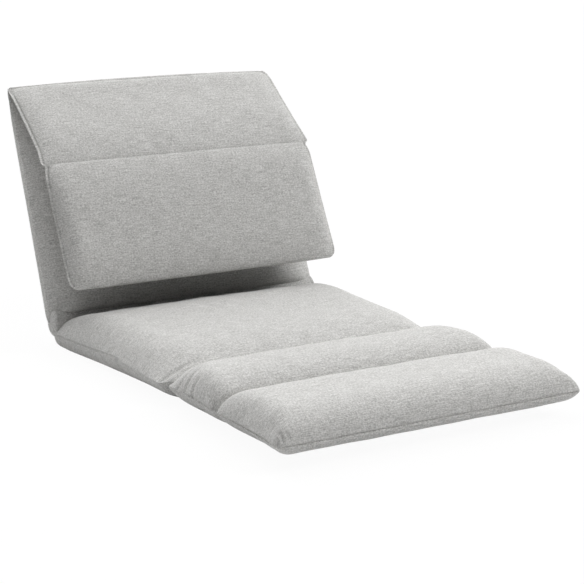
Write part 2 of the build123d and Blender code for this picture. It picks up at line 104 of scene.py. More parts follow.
def swell(distance: Array, run: float, power: float = 0.5) -> Array:
    """Share of the full padding at distances from a sewn end.

    The share is 1 less the square of what is left of the run, raised to the power: a quarter ellipse
    at a half, a parabola at 1.

    Args:
        distance: Distances from the sewn end.
        run: Length over which the padding reaches its full height.
        power: Exponent of the share.

    Returns:
        Shares from 0 to 1, in the shape of distance.
    """
    return (1 - (1 - np.clip(distance / run, 0, 1)) ** 2) ** power


def smooth(share: Array) -> Array:
    """Smooth step from 0 to 1 of a share that is clipped first."""
    share = np.clip(share, 0, 1)
    return share * share * (3 - 2 * share)


@dataclass(frozen=True)
class Panel:
    """Seam plane of one section: v runs along its length and w points out of its face.

    Angles are in degrees from +Y towards +Z, and origin is the fold that v starts from, as y and z.
    """

    origin: Pair
    length_angle: float
    face_angle: float

    def axes(self) -> tuple[Array, Array]:
        """Unit vectors of v and w, as y and z."""
        turns = np.radians([self.length_angle, self.face_angle])
        return np.stack([np.cos(turns), np.sin(turns)], axis=-1)

    def place(self, x: Array, v: Array, w: Array) -> Array:
        """Points of the sofa's frame: the origin and v and w times their unit vectors, added up.

        Args:
            x: Places across the sofa.
            v: Places along the section.
            w: Heights above the seam plane, towards the face.

        Returns:
            Array with a last axis of x, y and z.
        """
        along, face = self.axes()
        y = self.origin[0] + v * along[0] + w * face[0]
        z = self.origin[1] + v * along[1] + w * face[1]
        return np.stack(np.broadcast_arrays(x, y, z), axis=-1)

    def fold_at(self, length: float) -> Pair:
        """The y and z of the fold at a length along the section."""
        along = self.axes()[0]
        return (self.origin[0] + length * along[0], self.origin[1] + length * along[1])


@dataclass(frozen=True)
class BentPanel(Panel):
    """Seam plane that bends at a fold on its way: bend_at along it, by bend degrees towards its face."""

    bend_at: float
    bend: float
    reach: float

    def place(self, x: Array, v: Array, w: Array) -> Array:
        """Points of the sofa's frame, as on a flat panel, turned about the fold by a smooth share.

        Args:
            x: Places across the sofa.
            v: Places along the section.
            w: Heights above the seam plane, towards the face.

        Returns:
            Array with a last axis of x, y and z.
        """
        flat = super().place(x, v, w)
        share = smooth((v - self.bend_at + self.reach) / (2 * self.reach))
        turn = np.radians(self.bend) * share
        fold = self.fold_at(self.bend_at)
        y, z = flat[..., 1] - fold[0], flat[..., 2] - fold[1]
        turned_y = y * np.cos(turn) - z * np.sin(turn) + fold[0]
        turned_z = y * np.sin(turn) + z * np.cos(turn) + fold[1]
        return np.stack(np.broadcast_arrays(flat[..., 0], turned_y, turned_z), axis=-1)


@dataclass(frozen=True)
class End:
    """One end of a padded channel. Pairs hold the face first and the underside second.

    gap is the distance from the fold or tip to the sewn edge, edge the thickness there, run the length
    over which the padding swells, and corner how far the corners are drawn in. power is the exponent of
    the swell, fold the steepest angle seen from the fold, if there is one, and nose how far the underside
    is raised over the fold, halfway across the sofa.
    """

    gap: float
    edge: Pair
    run: Pair
    corner: float
    power: Pair = (0.5, 0.5)
    fold: tuple[float | None, float | None] = (None, None)
    nose: float = 0.0


@dataclass(frozen=True)
class Channel:
    """One padded channel of a cushion, from start to start + length along its section."""

    start: float
    length: float
    near: End
    far: End
    crown: Pair
    waist: float = 0.002

    def ends(self, v: Array) -> tuple[tuple[End, Array], tuple[End, Array]]:
        """Both ends, each with how far places along the section are from it."""
        inside = np.clip(v - self.start, 0, self.length)
        return (self.near, inside), (self.far, self.length - inside)

    def height(self, v: Array, side: Side) -> Array:
        """Height above the seam plane, or depth below it, of one sheet at places along the section.

        The crown is scaled by the swell of both ends, the sewn edges are added where that share is
        low, and the result stays under the lines that the folds allow.

        Args:
            v: Places along the section.
            side: Sheet to work out.

        Returns:
            Heights, in the shape of v.
        """
        k = side.value
        share, sewn, limit = np.ones_like(v), np.zeros_like(v), np.full_like(v, np.inf)
        for end, distance in self.ends(v):
            here = swell(distance - end.gap, end.run[k], end.power[k])
            share = share * here
            sewn = sewn + end.edge[k] * (1 - here)
            if end.fold[k] is not None:
                limit = np.minimum(limit, distance * math.tan(math.radians(end.fold[k])))
        return np.minimum(self.crown[k] * share + sewn, limit)

    def nose(self, v: Array) -> Array:
        """How far the underside is raised at places along the channel, halfway across the sofa."""
        return sum(end.nose * (1 - smooth(distance / NOSE_RUN)) for end, distance in self.ends(v))

    def half_width(self, v: Array) -> Array:
        """Half of the width at places along the channel: a waist between drawn in corners.

        Args:
            v: Places along the section.

        Returns:
            Half widths, in the shape of v. The waist is a parabola, and the corners follow the swell.
        """
        middle = self.ends(v)[0][1] / self.length
        half = WIDTH / 2 - 4 * self.waist * middle * (1 - middle)
        for end, distance in self.ends(v):
            half = half - end.corner * (1 - swell(distance - end.gap, CORNER_RUN))
        return half


def closed_quads(rows: int, columns: int) -> tuple[Array, Array, Array]:
    """Quads of two grids that share their border, as one closed bag.

    Args:
        rows: Points along the section.
        columns: Points across the sofa.

    Returns:
        Vertex numbers of the face grid, those of the underside grid, and all quads with the face's
        first.
    """
    face = np.arange(rows * columns).reshape(rows, columns)
    under = face.copy()
    inner = (rows - 2) * (columns - 2)
    under[1:-1, 1:-1] = rows * columns + np.arange(inner).reshape(rows - 2, columns - 2)
    return face, under, np.concatenate([cell_corners(face), cell_corners(under)[:, ::-1]])


def add_object(name: str, data: bpy.types.ID) -> Piece:
    """New object that shows the data, linked to the scene at the origin.

    Args:
        name: Name of the object.
        data: Mesh, lamp or camera to show.

    Returns:
        The object.
    """
    added = bpy.data.objects.new(name, data)
    bpy.context.collection.objects.link(added)
    return added


def mesh_piece(name: str, points: Array, quads: Array, flat: Array) -> Piece:
    """New object from arrays, turned right side out and shaded smooth.

    Args:
        name: Name of the piece.
        points: Vertices, one row each.
        quads: Vertex numbers, one row per face.
        flat: Cloth coordinates in metres, one row per face corner.

    Returns:
        The object, in the scene.
    """
    a, b, c, d = (points[quads[:, k]] for k in range(4))
    volume = np.einsum("ij,ij->i", a, np.cross(b, c) + np.cross(c, d)).sum()
    order = slice(None, None, -1 if volume < 0 else 1)
    mesh = bpy.data.meshes.new(name)
    mesh.from_pydata(points.tolist(), [], quads[:, order].tolist())
    layer = mesh.uv_layers.new(name="cloth")
    layer.uv.foreach_set("vector", flat.reshape(-1, 4, 2)[:, order].astype(np.float32).ravel())
    mesh.shade_smooth()
    mesh.validate()
    return add_object(name, mesh)


def read_rows(items: bpy.types.bpy_prop_collection, key: str, width: int = 3) -> Array:
    """One property of all items, such as the places of vertices, as an array with one row each.

    Args:
        items: Vertices, normals or values of an attribute.
        key: Name of the property.
        width: Numbers per item.

    Returns:
        Array of items by width.
    """
    flat = np.empty(len(items) * width, dtype=np.float32)
    items.foreach_get(key, flat)
    return flat.reshape(-1, width).astype(float)


def read_points(mesh: bpy.types.Mesh) -> Array:
    """Vertices of a mesh as an array with one row each."""
    return read_rows(mesh.vertices, "co")


def run_lengths(points: Array, axis: int) -> Array:
    """Distance run from the start of each row or column of a grid of points.

    Args:
        points: Grid with a last axis of x, y and z.
        axis: Axis of the grid to run along.

    Returns:
        Distances, one per point of the grid.
    """
    steps = np.linalg.norm(np.diff(points, axis=axis), axis=-1)
    start = np.zeros_like(np.take(steps, [0], axis=axis))
    return np.concatenate([start, np.cumsum(steps, axis=axis)], axis=axis)


def cell_corners(grid: Array) -> Array:
    """The four corners of each cell of a grid, in order round the cell."""
    corners = (grid[:-1, :-1], grid[:-1, 1:], grid[1:, 1:], grid[1:, :-1])
    return np.stack(corners, axis=2).reshape(-1, 4, *grid.shape[2:])


def write_points(mesh: bpy.types.Mesh, points: Array) -> None:
    """Moves the vertices of a mesh."""
    mesh.vertices.foreach_set("co", points.astype(np.float32).ravel())
    mesh.update()


@dataclass(frozen=True)
class Stuffing:
    """How the cover is blown up by its filling in a short cloth simulation.

    slack is how much the cloth may grow, and cap the most that a point moves.
    """

    pressure: float = 4.0
    slack: float = 0.012
    cap: float = 0.006
    frames: int = 20
    steps: int = 4
    mass: float = 0.25
    stretching: float = 12
    shearing: float = 6
    bending: float = 0.4
    air: float = 2

    def inflate(self, piece: Piece, sewn: Array) -> None:
        """Runs the simulation and keeps its result, with each point's way held under the cap.

        Args:
            piece: Cover to fill.
            sewn: Numbers of the vertices that the seams hold in place.
        """
        rest = read_points(piece.data)
        group = piece.vertex_groups.new(name="sewn")
        group.add(sewn.tolist(), 1.0, "REPLACE")
        cloth = piece.modifiers.new("stuffing", "CLOTH")
        settings = cloth.settings
        settings.quality = self.steps
        settings.mass = self.mass
        settings.tension_stiffness = settings.compression_stiffness = self.stretching
        settings.shear_stiffness = self.shearing
        settings.bending_stiffness = self.bending
        settings.air_damping = self.air
        settings.shrink_min = -self.slack
        settings.use_pressure = True
        settings.uniform_pressure_force = self.pressure
        settings.vertex_group_mass = group.name
        settings.effector_weights.gravity = 0
        cloth.collision_settings.use_collision = False
        cloth.point_cache.frame_end = self.frames
        scene = bpy.context.scene
        for number in range(1, self.frames + 1):
            scene.frame_set(number)
        filled = piece.evaluated_get(bpy.context.evaluated_depsgraph_get())
        moved = read_points(filled.data) - rest
        piece.modifiers.remove(cloth)
        piece.vertex_groups.clear()
        scene.frame_set(1)
        way = np.linalg.norm(moved, axis=1, keepdims=True)
        held = self.cap * np.tanh(way / self.cap) / np.maximum(way, 1e-9)
        log.info("%s filled: points move %.1f mm at most", piece.name, way.max() * 1e3)
        write_points(piece.data, rest + moved * held)


def subdivide(piece: Piece) -> None:
    """Applies one level of subdivision, with the cloth coordinates kept straight.

    Args:
        piece: Piece whose mesh is replaced by the finer one.
    """
    rounder = piece.modifiers.new("rounding", "SUBSURF")
    rounder.levels = rounder.render_levels = 1
    rounder.uv_smooth = "NONE"
    rounded = piece.evaluated_get(bpy.context.evaluated_depsgraph_get())
    finished = bpy.data.meshes.new_from_object(rounded)
    piece.modifiers.clear()
    piece.data, old = finished, piece.data
    bpy.data.meshes.remove(old)
    piece.data.name = piece.name
    piece.data.shade_smooth()


@dataclass(frozen=True)
class Wrinkle:
    """A crease in a sheet along a bent line between two places of a section.

    Its depth falls off across the line as a bell curve of the given width, and fades to nothing at the
    far end.
    """

    COME_IN: ClassVar[float] = 8
    COME_IN_AT_START: ClassVar[float] = 0.6

    start: Pair
    end: Pair
    bend: float
    width: float
    depth: float
    side: Side = Side.FACE

    def opposite(self) -> "Wrinkle":
        """A slightly shallower wrinkle like this on the other side, with its ends a little moved.

        Returns:
            The other wrinkle.
        """
        start = (-self.start[0], self.start[1] + 0.002)
        end = (-self.end[0], self.end[1] - 0.003)
        return replace(self, start=start, end=end, bend=-self.bend, depth=0.8 * self.depth)

    def dent(self, x: Array, v: Array) -> Array:
        """Depth of the crease at places across and along the section.

        The line is a parabola: the straight way from start to end, pushed sideways by bend times
        4 t (1 - t). The depth is a bell curve of the distance from it, which comes in quickly round
        the start and goes out smoothly towards the end.

        Args:
            x: Places across the sofa.
            v: Places along the section.

        Returns:
            Depths, in the shape of x and v.
        """
        way = np.subtract(self.end, self.start)
        length = float(np.hypot(*way))
        along = ((x - self.start[0]) * way[0] + (v - self.start[1]) * way[1]) / length
        aside = ((x - self.start[0]) * -way[1] + (v - self.start[1]) * way[0]) / length
        share = along / length
        off = aside - self.bend * 4 * share * (1 - share)
        fade = smooth(self.COME_IN * share + self.COME_IN_AT_START) * (1 - smooth(share)) * (share < 1)
        return self.depth * np.exp(-((off / self.width) ** 2)) * fade


def mirrored(wrinkles: tuple[Wrinkle, ...]) -> tuple[Wrinkle, ...]:
    """The wrinkles of the left side, followed by the like ones on the right."""
    return wrinkles + tuple(wrinkle.opposite() for wrinkle in wrinkles)


@dataclass(frozen=True)
class Seam:
    """How a cushion's rim is sewn: its line along the section and the shape of the join.

    Each row holds a place along the section, the rim's height above the seam plane, how far from the rim
    the face and the underside round off, and how far the rim stands out sideways. The groove of the
    stitches lies offset away from the rim, and the rim itself stands proud by bead. Between the two
    places of hidden the seam doesn't show.
    """

    rows: tuple[tuple[float, float, float, float, float], ...]
    depth: float = 0.0016
    width: float = 0.0026
    offset: float = 0.0
    bead: float = 0.0
    hidden: Pair = (0.0, 0.0)

    def at(self, v: Array) -> tuple[Array, tuple[Array, Array], Array]:
        """Rim height, runs of both sheets and spread at places along the section, straight between rows.

        Args:
            v: Places along the section.

        Returns:
            Heights of the rim, runs of the face and of the underside, and how far the rim stands out.
        """
        places, *columns = np.array(self.rows).T
        height, face, under, spread = (np.interp(v, places, column) for column in columns)
        return height, (face, under), spread

    def press(self, v: Array, away: Array) -> Array:
        """Way out of the surface at distances from the rim: a bead less the groove, both bell curves.

        Args:
            v: Places along the section.
            away: Distances from the rim.

        Returns:
            Ways along the normal, in the shape of v.
        """
        groove = self.depth * np.exp(-(((away - self.offset) / self.width) ** 2))
        shown = 1 - (v > self.hidden[0]) * (v < self.hidden[1])
        return (self.bead * np.exp(-((away / self.width) ** 2)) - groove) * shown


@dataclass
class Cushion:
    """One padded section of the sofa: a bag of two sheets, sewn at its rim and filled."""

    name: str
    body: str
    panel: Panel
    channels: tuple[Channel, ...]
    nodes: tuple[str, ...]
    seam: Seam
    wrinkles: tuple[Wrinkle, ...] = ()
    stuffing: Stuffing = Stuffing()
    fill: float = 0.8
    ripple: float = 0.0003
    seed: int = 1

    @property
    def length(self) -> float:
        """Length of the section, over all its channels."""
        return self.channels[-1].start + self.channels[-1].length

    def sewn_lines(self) -> list[float]:
        """Places of the seams across the section, between its channels."""
        return [channel.start for channel in self.channels[1:]]

    def by_channel(self, v: Array, values: list[Array]) -> Array:
        """Takes at each place the value of the channel that holds it."""
        return np.choose(np.searchsorted(self.sewn_lines(), v, side="right"), values)

    def height(self, v: Array, side: Side) -> Array:
        """Padding of one sheet at places along the section."""
        return self.by_channel(v, [channel.height(v, side) for channel in self.channels])

    def half_width(self, v: Array) -> Array:
        """Half of the width at places along the section."""
        return self.by_channel(v, [channel.half_width(v) for channel in self.channels]) + self.seam.at(v)[2]

    def rows(self) -> tuple[Array, Array]:
        """Places of the grid's rows along the section, evenly spread over the curve of the padding.

        At each end the first rows climb the sewn end wall, so they share one place and rise from 0 to 1.

        Returns:
            Places, and the share of the wall that each row has climbed.
        """
        first = self.channels[0].near.gap
        last = self.length - self.channels[-1].far.gap
        bounds = [first, *self.sewn_lines(), last]
        places = [np.array([first])]
        for start, end in zip(bounds, bounds[1:]):
            dense = np.linspace(start, end, CURVE_SAMPLES)
            bent = sum(np.gradient(self.height(dense, side)) ** 2 for side in Side) / 2
            step = np.sqrt(np.gradient(dense) ** 2 + bent)
            run = np.concatenate([[0], np.cumsum((step[1:] + step[:-1]) / 2)])
            count = max(2, int(round(run[-1] / GRID_STEP)))
            places.append(np.interp(np.linspace(0, run[-1], count + 1)[1:], run, dense))
        near, far = (self.wall_rows(v) for v in (first, last))
        inner = np.concatenate(places)
        up, down = np.linspace(0, 1, near)[:-1] ** 2, np.linspace(1, 0, far)[1:] ** 2
        climb = np.concatenate([up, np.ones(len(inner)), down])
        return np.concatenate([np.full(near - 1, first), inner, np.full(far - 1, last)]), climb

    def wall_rows(self, v: float) -> int:
        """Number of rows from the rim to the top of a sewn end wall."""
        wall = max(self.height(np.array([v]), side)[0] for side in Side)
        return max(WALL_ROWS, int(round(wall / GRID_STEP)) + 1)

    def columns(self) -> Array:
        """Places of the grid's columns as shares of the half width, closer together towards the rim.

        Returns:
            Shares from -1 to 1, evenly spread between the two rims.
        """
        rim = 1 - np.array(RIM_COLUMNS) / (WIDTH / 2)
        inner = np.linspace(-rim[-1], rim[-1], int(round(rim[-1] * WIDTH / GRID_STEP)))
        return np.concatenate([-rim[:-1], inner, rim[-2::-1]])

    def sheet(self, side: Side, v: Array, climb: Array, share: Array) -> tuple[Array, Array]:
        """One sheet of the cover over the grid.

        Across the sofa a section is an arc from the rim that is level at the shoulder, or a quarter
        ellipse where the run is shorter than the drop, and a shallow parabola between the shoulders.
        Along it the height follows the padding.

        Args:
            side: Sheet to work out.
            v: Places of the rows.
            climb: Share of the end wall that each row has climbed.
            share: Places of the columns as shares of the half width.

        Returns:
            Places across the sofa and heights above the seam plane, both rows by columns.
        """
        half = self.half_width(v)[:, None]
        x = half * share[None, :]
        rim, runs, _ = self.seam.at(v)
        rim, run = rim[:, None], runs[side.value][:, None]
        sign = 1 if side is Side.FACE else -1
        top = np.maximum(self.height(v, side)[:, None] - sign * rim, 0) * climb[:, None]
        if side is Side.FACE:
            shoulder = SHOULDER * top
        else:
            nose = self.by_channel(v, [channel.nose(v) for channel in self.channels]) * climb
            top = top + nose[:, None] * (1 - share**2)
            shoulder = top
        drop = np.maximum(shoulder, 1e-6)
        radius = (run**2 + drop**2) / (2 * drop)
        inset = np.clip(run - (half - np.abs(x)), 0, run)
        arc = drop - radius + np.sqrt(np.maximum(radius**2 - inset**2, 0))
        arc = np.where(run < drop, drop * np.sqrt(1 - (inset / run) ** 2), arc)
        crown = (top - shoulder) * (1 - np.clip(np.abs(x) / (half - run), 0, 1) ** 2)
        return x, rim + sign * (arc + crown)

    def bag(self) -> tuple[Piece, Array]:
        """The sewn bag before it is filled, with its cloth coordinates.

        Two attributes go with each vertex: plan, its x and v and its distance from the seams round the
        bag, and sheet, which is 1 on the face, -1 on the underside and 0 on the rim.

        Returns:
            The object, and the numbers of the vertices that the seams hold.
        """
        v, climb = self.rows()
        share = self.columns()
        face, under, quads = closed_quads(len(v), len(share))
        points, plan = np.empty((2, under.max() + 1, 3))
        flats = []
        for grid, side in ((under, Side.UNDER), (face, Side.FACE)):
            x, w = self.sheet(side, v, climb, share)
            here = self.panel.place(x, v[:, None], w)
            points[grid] = here
            across = run_lengths(here, 1)
            along = run_lengths(here, 0)
            away = np.minimum(across, across[:, -1:] - across)
            if self.channels[-1].far.fold == (None, None):
                away = np.minimum(away, along[-1:] - along)
            plan[grid] = np.stack(np.broadcast_arrays(x, v[:, None], away), axis=-1)
            middle = along[:, len(share) // 2, None] + np.zeros_like(across)
            flats.append(cell_corners(np.stack([across - across[:, -1:] / 2, middle], axis=-1)))
        piece = mesh_piece(self.name, points, quads, np.concatenate([flats[1], flats[0][:, ::-1]]))
        rim = np.unique(np.concatenate([face[0], face[-1], face[:, 0], face[:, -1]]))
        sheet = np.where(np.arange(len(points)) < face.size, 1.0, -1.0)
        sheet[rim] = 0
        piece.data.attributes.new("plan", "FLOAT_VECTOR", "POINT").data.foreach_set("vector", plan.ravel())
        piece.data.attributes.new("sheet", "FLOAT", "POINT").data.foreach_set("value", sheet)
        across = np.isclose(v[:, None], self.sewn_lines()).any(axis=1)
        return piece, np.unique(np.concatenate([rim, face[across].ravel(), under[across].ravel()]))

    def finish_cover(self, piece: Piece) -> None:
        """Presses the seams, the wrinkles and a faint unevenness into the filled cover.

        Each is a way along the surface normal: the shape of the seam over the distance from the rim,
        the dents of the wrinkles, and a sum of long sine waves with set phases.

        Args:
            piece: Filled and subdivided cover.
        """
        mesh = piece.data
        x, v, away = read_rows(mesh.attributes["plan"].data, "vector").T
        sheet = read_rows(mesh.attributes["sheet"].data, "value", 1)[:, 0]
        way = self.seam.press(v, away)
        for wrinkle in self.wrinkles:
            on = sheet if wrinkle.side is Side.FACE else -sheet
            # A wrinkle fades out over the rim, halfway to the other sheet
            way = way - wrinkle.dent(x, v) * smooth(on * 2 + 0.7)
        draws = np.random.default_rng(self.seed)
        calm = np.exp(-((RIPPLE_CALM / np.maximum(away, 1e-4)) ** 2))
        for length in RIPPLE_LENGTHS:
            turn, phase, tilt = draws.uniform(0, 2 * math.pi, 3)
            run = x * math.cos(turn) + v * math.sin(turn)
            wave = np.sin(run * 2 * math.pi / length + phase + tilt * sheet)
            way = way + self.ripple * wave * calm
        points = read_points(mesh) + read_rows(mesh.vertex_normals, "vector") * way[:, None]
        points[:, 2] = np.maximum(points[:, 2], 0.0)
        for name in ("plan", "sheet"):
            mesh.attributes.remove(mesh.attributes[name])
        write_points(mesh, points)

    def carry(self, piece: Piece) -> None:
        """Lets the cushion move with its body."""
        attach(piece, self.body)

    def build(self, cover: Material) -> None:
        """Makes, fills, finishes and dresses the cushion.

        Args:
            cover: Material of the cover.
        """
        piece, sewn = self.bag()
        self.stuffing.inflate(piece, sewn)
        subdivide(piece)
        self.finish_cover(piece)
        piece.data.materials.append(cover)
        self.carry(piece)
        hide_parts(*self.nodes)
        log.info("%s: %d faces", piece.name, len(piece.data.polygons))


@dataclass
class FoldedCushion(Cushion):
    """A cushion with a fold on its way, whose mesh is left in the sofa's frame and tied to no body."""

    far_body: str = ""
    fold_at: float = 0.0
    reach: float = 0.012

    def carry(self, piece: Piece) -> None:
        """Bakes the cushion's place into its mesh and leaves it tied to no body; the ends of the fold's zone
        are worked out but not used.

        Args:
            piece: Finished cushion.
        """
        zone = self.fold_at + self.reach * np.array([-1, 1])
        start, end = self.panel.place(np.zeros(2), zone, np.zeros(2))
        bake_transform(piece)


@dataclass
class FoldSleeve:
    """Sleeve of cover fabric round a fold, which hides the hinges and closes the gap of the fold.

    It is a tube about the fold's axis with rounded ends and shallow gathers round it, so it keeps its
    shape when either section turns.
    """

    name: str
    body: str
    fold: Pair
    radius: float
    half_length: float
    gather: float
    bow: float = 0.0
    round_points: int = 40

    def build(self, cover: Material) -> None:
        """Makes and dresses the sleeve.

        The profile runs along X: a straight line between two quarter ellipses. It is carried round the
        fold, with the radius lowered by a wave along X that is strongest near the ends.

        Args:
            cover: Material of the sleeve.
        """
        straight = int(round(2 * self.half_length / SLEEVE_STEP))
        cap = np.linspace(0, math.pi / 2, CAP_POINTS)
        bulge = min(self.radius, CAP_LENGTH)
        ends = self.half_length - bulge + bulge * np.sin(cap)
        between = np.linspace(-1, 1, straight)[1:-1] * (self.half_length - bulge)
        x = np.concatenate([-ends[::-1], between, ends])
        height = np.concatenate([np.cos(cap)[::-1], np.ones(straight - 2), np.cos(cap)])
        near_end = np.exp(-(((self.half_length - np.abs(x)) / GATHER_RUN) ** 2))
        waves = sum(size * np.sin(x * 2 * math.pi / length + phase) for length, size, phase in GATHER_WAVES)
        waves = waves / sum(size for _, size, _ in GATHER_WAVES)
        full = self.radius + self.bow * (1 - (x / self.half_length) ** 2)
        radius = height * full - self.gather * (GATHER_MIDDLE + near_end) * (1 + waves) * height
        turn = np.linspace(0, 2 * math.pi, self.round_points + 1)
        y = self.fold[0] + radius[:, None] * np.cos(turn)
        z = self.fold[1] + radius[:, None] * np.sin(turn)
        points = np.stack(np.broadcast_arrays(x[:, None], y, z), axis=-1)[:, :-1]
        rows, around = points.shape[:2]
        grid = np.arange(rows * around).reshape(rows, around)
        grid = np.concatenate([grid, grid[:, :1]], axis=1)
        quads = cell_corners(grid)
        girth = (self.radius + self.bow) * turn
        flat = cell_corners(np.stack(np.broadcast_arrays(x[:, None], girth), axis=-1))
        piece = mesh_piece(self.name, points.reshape(-1, 3), quads, flat)
        merge = bmesh.new()
        merge.from_mesh(piece.data)
        bmesh.ops.remove_doubles(merge, verts=merge.verts, dist=1e-6)
        merge.to_mesh(piece.data)
        merge.free()
        piece.data.materials.append(cover)
        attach(piece, self.body)
        log.info("%s: %d faces", piece.name, len(piece.data.polygons))


class Value:
    """A shader socket that takes part in Python arithmetic, each step of which adds a Math node."""

    def __init__(self, kit: "ShaderKit", socket: bpy.types.NodeSocket) -> None:
        self.kit = kit
        self.socket = socket

    def __add__(self, other: "Value | float") -> "Value":
        """Sum with a value or number."""
        return self.kit.maths("ADD", self, other)

    def __sub__(self, other: "Value | float") -> "Value":
        """Difference from a value or number."""
        return self.kit.maths("SUBTRACT", self, other)

    def __rsub__(self, other: float) -> "Value":
        """A number less this value."""
        return self.kit.maths("SUBTRACT", other, self)

    def __mul__(self, other: "Value | float") -> "Value":
        """Product with a value or number."""
        return self.kit.maths("MULTIPLY", self, other)

    __radd__ = __add__
    __rmul__ = __mul__


class ShaderKit:
    """Node tree of a material or a world, with a single way to add nodes."""

    def __init__(self, owner: Material | bpy.types.World) -> None:
        """Empties the owner's node tree.

        Args:
            owner: Material or world to make nodes for.
        """
        owner.use_nodes = True
        self.owner = owner
        self.tree = owner.node_tree
        self.tree.nodes.clear()

    def node(self, kind: str, settings: dict[str, Any], sockets: dict[str, Any]) -> bpy.types.Node:
        """Adds a node, sets it up and fills its sockets.

        Args:
            kind: Type of the node.
            settings: Attributes of the node; stops holds a ramp's places and greys.
            sockets: Values, colours or links by the socket's identifier or name.

        Returns:
            The node.
        """
        node = self.tree.nodes.new(kind)
        for key, setting in settings.items():
            if key == "stops":
                ramp = node.color_ramp.elements
                while len(ramp) < len(setting):
                    ramp.new(1.0)
                for element, (place, grey) in zip(ramp, setting):
                    element.position = place
                    element.color = (grey, grey, grey, 1.0)
            else:
                setattr(node, key, setting)
        for key, given in sockets.items():
            socket = next(s for s in node.inputs if key in (s.identifier, s.name))
            if isinstance(given, Value):
                self.tree.links.new(given.socket, socket)
            else:
                socket.default_value = given
        return node

    def out(self, node: bpy.types.Node, name: str) -> Value:
        """An output of a node, by identifier or name."""
        return Value(self, next(s for s in node.outputs if name in (s.identifier, s.name)))

    def maths(self, operation: str, *given: Value | float) -> Value:
        """Result of one Math node."""
        sockets = dict(zip(("Value", "Value_001", "Value_002"), given))
        return self.out(self.node("ShaderNodeMath", {"operation": operation}, sockets), "Value")

    def noise(self, vector: Value, scale: Triple, detail: float, flat: bool = False) -> Value:
        """Noise from 0 to 1 on a vector with each axis scaled, in the plane or in space.

        Args:
            vector: Coordinates of the surface.
            scale: Spots per metre along each axis.
            detail: Number of finer layers.
            flat: Whether the third axis is left out.

        Returns:
            The noise.
        """
        mapping = self.node("ShaderNodeMapping", {"vector_type": "POINT"}, {"Vector": vector, "Scale": scale})
        settings = {"noise_dimensions": "2D" if flat else "3D"}
        sockets = {"Vector": self.out(mapping, "Vector"), "Scale": 1.0, "Detail": detail}
        return self.out(self.node("ShaderNodeTexNoise", settings, sockets), "Fac")

    def mixed(self, share: Value, first: Colour, second: Colour) -> Value:
        """Colour between two colours."""
        sockets = {"Factor_Float": share, "A_Color": (*first, 1.0), "B_Color": (*second, 1.0)}
        return self.out(self.node("ShaderNodeMix", {"data_type": "RGBA"}, sockets), "Result_Color")

    def coordinates(self, name: str) -> Value:
        """Texture coordinates of the piece, such as Object or UV."""
        return self.out(self.node("ShaderNodeTexCoord", {}, {}), name)

    def surface(
        self, colour: Value, roughness: Value, height: Value, depth: float, **fixed: Any
    ) -> Material:
        """Closes the material with a Principled BSDF.

        Args:
            colour: Base colour over the surface.
            roughness: Roughness over the surface.
            height: Relief from 0 to 1.
            depth: Depth of the relief in metres.
            **fixed: Other sockets that hold one value all over, with spaces as underscores.

        Returns:
            The material.
        """
        bump = self.node("ShaderNodeBump", {}, {"Height": height, "Distance": depth, "Strength": 1.0})
        sockets = {key.replace("_", " "): value for key, value in fixed.items()}
        sockets |= {"Base Color": colour, "Roughness": roughness, "Normal": self.out(bump, "Normal")}
        shader = self.node("ShaderNodeBsdfPrincipled", {}, sockets)
        self.node("ShaderNodeOutputMaterial", {}, {"Surface": self.out(shader, "BSDF")})
        return self.owner

    def seen_or_lit(self, seen: Value, lit: Value, share: float = 1.0) -> Value:
        """One shader for what the camera sees, straight or by a mirror or glass, and one for the rest.

        Args:
            seen: Shader for the camera's own rays and for mirrored and refracted ones.
            lit: Shader for all other rays.
            share: How much of the first shader those rays get.

        Returns:
            The mixed shader.
        """
        path = self.node("ShaderNodeLightPath", {}, {})
        kinds = ("Camera", "Glossy", "Transmission")
        camera, glossy, through = (self.out(path, f"Is {kind} Ray") for kind in kinds)
        factor = self.maths("MINIMUM", camera + glossy + through, 1.0) * share
        sockets = {"Fac": factor, "Shader": lit, "Shader_001": seen}
        return self.out(self.node("ShaderNodeMixShader", {}, sockets), "Shader")


